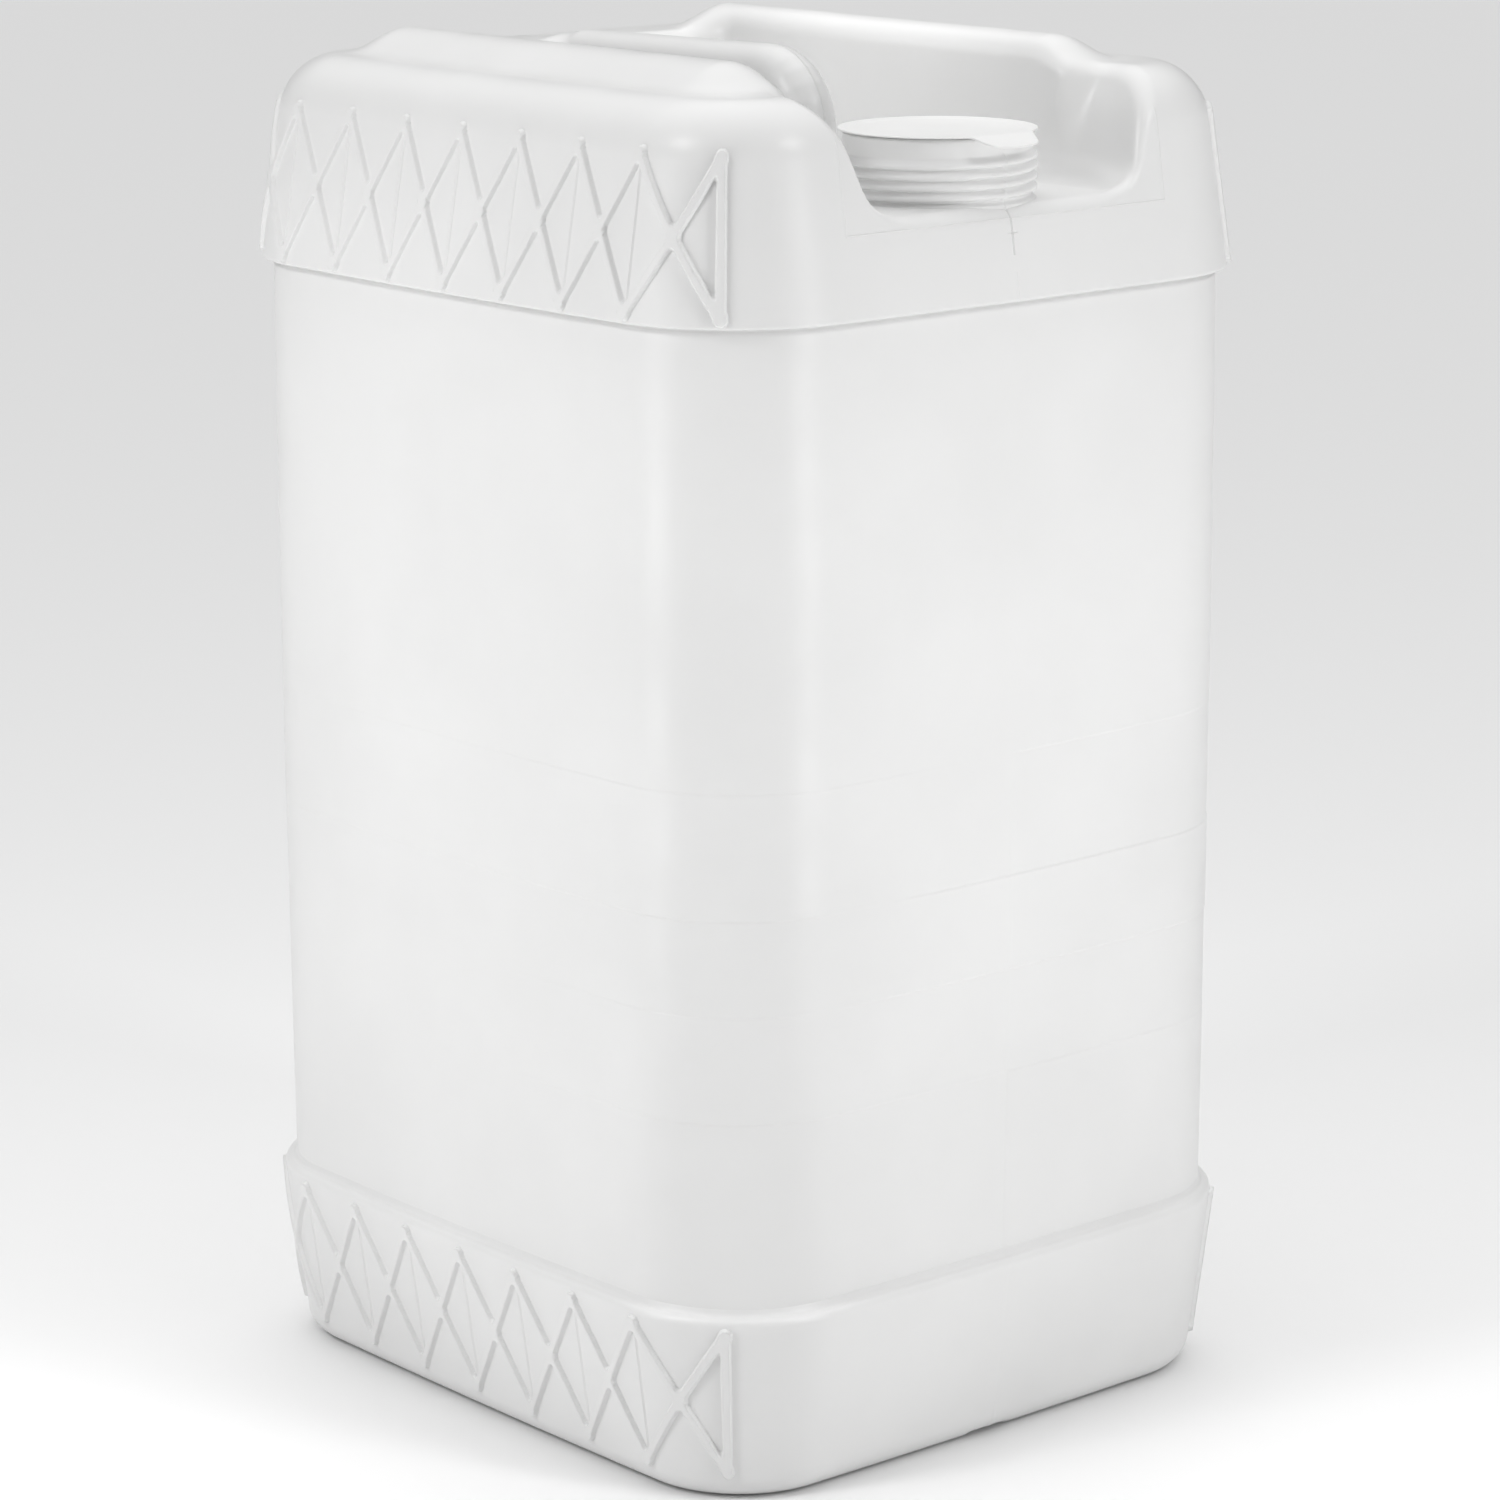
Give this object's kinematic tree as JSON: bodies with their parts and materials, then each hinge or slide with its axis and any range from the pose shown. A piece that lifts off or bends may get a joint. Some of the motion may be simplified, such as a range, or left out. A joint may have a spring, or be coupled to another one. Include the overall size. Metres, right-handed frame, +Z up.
{
  "type": "square tight-head plastic container",
  "caption": "Tall rounded-square blow-moulded container with carry handle, ribbed bands, threaded front neck and peel-off seal with a pull tab.",
  "frame": {"origin": "middle of the base, on the plane that the foot ring stands on", "axes": "+Z up, the neck and pour notch on the -Y side, X across the container; x = 0 is the mould's parting plane"},
  "size_m": [0.2468, 0.266, 0.447],
  "materials": {
    "hdpe": "satin natural white polyethylene, slightly translucent",
    "seal_film": "thin milky translucent film disc, satin"
  },
  "bodies": {
    "container": {"base_pan": "hdpe", "body_wall": "hdpe", "upper_band": "hdpe", "shoulder_left": "hdpe", "shoulder_right": "hdpe", "trough": "hdpe", "side_ridge_left": "hdpe", "side_ridge_right": "hdpe", "carry_handle": "hdpe", "neck": "hdpe", "neck_thread": "hdpe", "lower_grip_left": "hdpe", "lower_grip_right": "hdpe", "upper_grip_left": "hdpe", "upper_grip_right": "hdpe"},
    "seal": {"seal_disc": "seal_film"},
    "tab": {"seal_tab": "seal_film"}
  },
  "joints": [
    {"name": "seal_peel", "type": "hinge", "parent": "container", "child": "seal", "pos_m": [0, -0.0638, 0.4231], "axis": [-1, 0, 0], "range_deg": [0, 110]},
    {"name": "tab_lift", "type": "hinge", "parent": "seal", "child": "tab", "pos_m": [0, -0.12396, 0.4239], "axis": [-1, 0, 0], "range_deg": [0, 100]}
  ]
}
